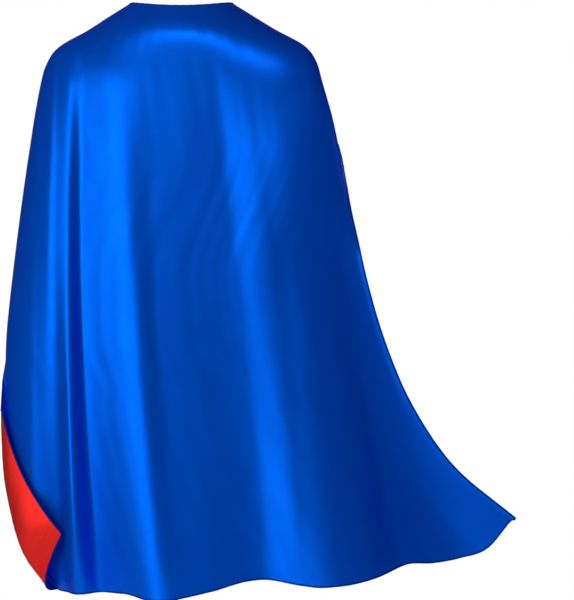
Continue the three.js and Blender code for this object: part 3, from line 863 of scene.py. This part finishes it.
def stitches(name, box):
    """A square of separate stitches, each bowed out of the cloth and sunk at its ends."""
    low, high = (np.array(corner) for corner in box)
    y, deep = (low[1] + high[1]) / 2, high[1] - low[1]
    corners = [(low[0], low[2]), (high[0], low[2]), (high[0], high[2]), (low[0], high[2])]
    lines = []
    for start, end in zip(corners, corners[1:] + corners[:1]):
        start, end = np.array(start), np.array(end)
        length = np.linalg.norm(end - start)
        count = int(length / STITCH_STEP)
        for k in range(count):
            middle = (k + 0.5) / count
            line = []
            for part in (-0.5, -0.36, 0, 0.36, 0.5):
                x, z = mix(start, end, middle + part * STITCH_LENGTH / length)
                line.append((x, y + outside(name) * deep * (0.2 - 1.6 * part * part), z))
            lines.append(line)
    return tubes(name, lines, STITCH_RADIUS, 6)


def outside(name):
    """Which way a patch's stitching bows out: to the back or to the front."""
    return -1 if name.startswith("loop") else 1


loop_stitches = stitches("loop_patch_stitches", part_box("loop_patch_stitching"))
hook_stitches = stitches("hook_patch_stitches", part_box("hook_patch_stitching"))
dress(loop_stitches, thread)
dress(hook_stitches, thread)

# ---- The blank care label, in the back neckline against the lining ----

LABEL_WIDTH, LABEL_LENGTH = 20 * MM, 26 * MM
LABEL_INSET = 1.5 * MM  # below the neckline
LABEL_LIFT, LABEL_CURL = 0.5 * MM, 1.4 * MM  # off the lining, at its top and more at its free end


def label_grid():
    """The label's points: it follows the lining down from the neckline and lifts at its free end."""
    middle = int(np.argmin(abs(main_grid[0, :, 0])))
    line = main_grid[:, middle]
    lengths = np.concatenate([[0], np.linalg.norm(np.diff(line, axis=0), axis=1).cumsum()])
    rows = []
    for part in np.linspace(0, 1, 27):
        row = []
        for x in np.linspace(-0.5, 0.5, 21) * LABEL_WIDTH:
            down = LABEL_INSET + part * LABEL_LENGTH
            at = np.interp(down, lengths, np.arange(len(lengths)))
            k, share = int(at), at - int(at)
            spot = []
            for grid in (main_grid, main_normals):
                upper, lower = (
                    [np.interp(x, main_grid[row_at, :, 0], grid[row_at, :, c]) for c in range(3)]
                    for row_at in (k, k + 1)
                )
                spot.append(mix(np.array(upper), np.array(lower), share))
            curl = LABEL_CURL * part**3 * (1 + 0.6 * x / LABEL_WIDTH)
            lift = PANEL_OFFSET + LABEL_LIFT + curl
            row.append(spot[0] - spot[1] * lift)
        rows.append(row)
    return np.array(rows)


label = grid_mesh("care_label_tape", label_grid(), False)
dress(label, label_tape)

# ---- Movement ----

for piece in (outer_cloth, lining_cloth, left_edge, right_edge):
    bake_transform(piece)
for piece in (outer_turned, lining_turned, turned_edge, turned_hem):
    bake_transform(piece)
for piece in (neckline, left_tab, loop_base, loops, loop_stitches, label):
    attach(piece, "shoulders")
for piece in (right_tab, hook_base, hooks, hook_stitches):
    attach(piece, "closure_flap")
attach(hem, "drape")

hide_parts("outer_panel_yoke", "outer_panel_drape")
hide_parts("lining_yoke", "lining_drape")
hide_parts("outer_panel_corner")
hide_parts("lining_corner")
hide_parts("neckline_seam")
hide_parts("hem_seam")
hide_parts("left_shoulder_edge_seam", "left_side_edge_seam")
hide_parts("right_shoulder_edge_seam", "right_side_edge_seam")
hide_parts("corner_front_edge_seam")
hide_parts("corner_hem_seam")
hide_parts("left_closure_tab")
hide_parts("right_closure_tab")
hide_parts("loop_patch")
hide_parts("hook_patch")
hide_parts("loop_patch_stitching")
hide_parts("hook_patch_stitching")
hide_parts("care_label")

# ---- Camera, floor and lights ----

scene = bpy.context.scene
VIEW_WIDTH = 0.6742  # width of the picture at the depth of the cape's outline
LENS, SENSOR = 250, 36
VIEW_CENTRE = Vector((0.1251, -0.05, -0.3453))
camera = bpy.data.objects.new("camera", bpy.data.cameras.new("camera"))
camera.data.lens = LENS
camera.data.sensor_fit = "HORIZONTAL"
camera.data.sensor_width = SENSOR
distance = VIEW_WIDTH * LENS / SENSOR
camera.location = VIEW_CENTRE - Vector((0, distance, 0))
camera.rotation_euler = (math.pi / 2, 0, 0)
scene.collection.objects.link(camera)
scene.camera = camera

FLOOR_Z = -1.0
FLOOR_RADIUS = 1.4
bpy.ops.mesh.primitive_circle_add(
    vertices=96, radius=FLOOR_RADIUS, fill_type="NGON", location=(0, 0, FLOOR_Z)
)
floor = bpy.context.object
floor.name = "floor"
floor_nodes = Nodes("pale_floor")
floor_nodes.set(Base_Color=(0.82, 0.82, 0.82, 1), Roughness=0.7)
floor_nodes.set(Emission_Color=(1, 1, 1, 1), Emission_Strength=0.3)
floor.data.materials.append(floor_nodes.material)


LIGHT_TARGET = Vector((0.05, -0.05, -0.35))


def softbox(name, azimuth, elevation, distance, size, power, colour=(1, 1, 1)):
    """A light on a circle round the target: azimuth 0 is behind the camera, 90 is to the right."""
    turn, rise = math.radians(azimuth), math.radians(elevation)
    level = math.cos(rise)
    direction = Vector((math.sin(turn) * level, -math.cos(turn) * level, math.sin(rise)))
    light = bpy.data.lights.new(name, "AREA")
    light.shape = "RECTANGLE"
    light.size, light.size_y = size
    light.energy = power
    light.color = colour
    made = bpy.data.objects.new(name, light)
    made.location = LIGHT_TARGET + direction * distance
    made.rotation_euler = direction.to_track_quat("Z", "Y").to_euler()
    scene.collection.objects.link(made)


softbox("key_left", -36, 8, 2.7, (1.9, 1.8), 40, (1, 0.97, 0.8))
softbox("top", -5, 52, 2.4, (1.2, 0.6), 14, (1, 0.97, 0.85))
softbox("edge_right", 112, 0, 2.5, (0.5, 2.0), 3)
softbox("front", 182, 2, 2.6, (1.2, 1.4), 20)

world = bpy.data.worlds.new("studio")
scene.world = world
world.use_nodes = True
tree = world.node_tree
surround = tree.nodes["Background"]
surround.inputs["Color"].default_value = (0.8, 0.85, 1.45, 1)
surround.inputs["Strength"].default_value = 0.1
backdrop = tree.nodes.new("ShaderNodeBackground")
backdrop.inputs["Color"].default_value = (1, 1, 1, 1)
backdrop.inputs["Strength"].default_value = 1.0
path = tree.nodes.new("ShaderNodeLightPath")
pick = tree.nodes.new("ShaderNodeMixShader")
tree.links.new(path.outputs["Is Camera Ray"], pick.inputs[0])
tree.links.new(surround.outputs[0], pick.inputs[1])
tree.links.new(backdrop.outputs[0], pick.inputs[2])
tree.links.new(pick.outputs[0], tree.nodes["World Output"].inputs["Surface"])
scene.view_settings.view_transform = "Standard"
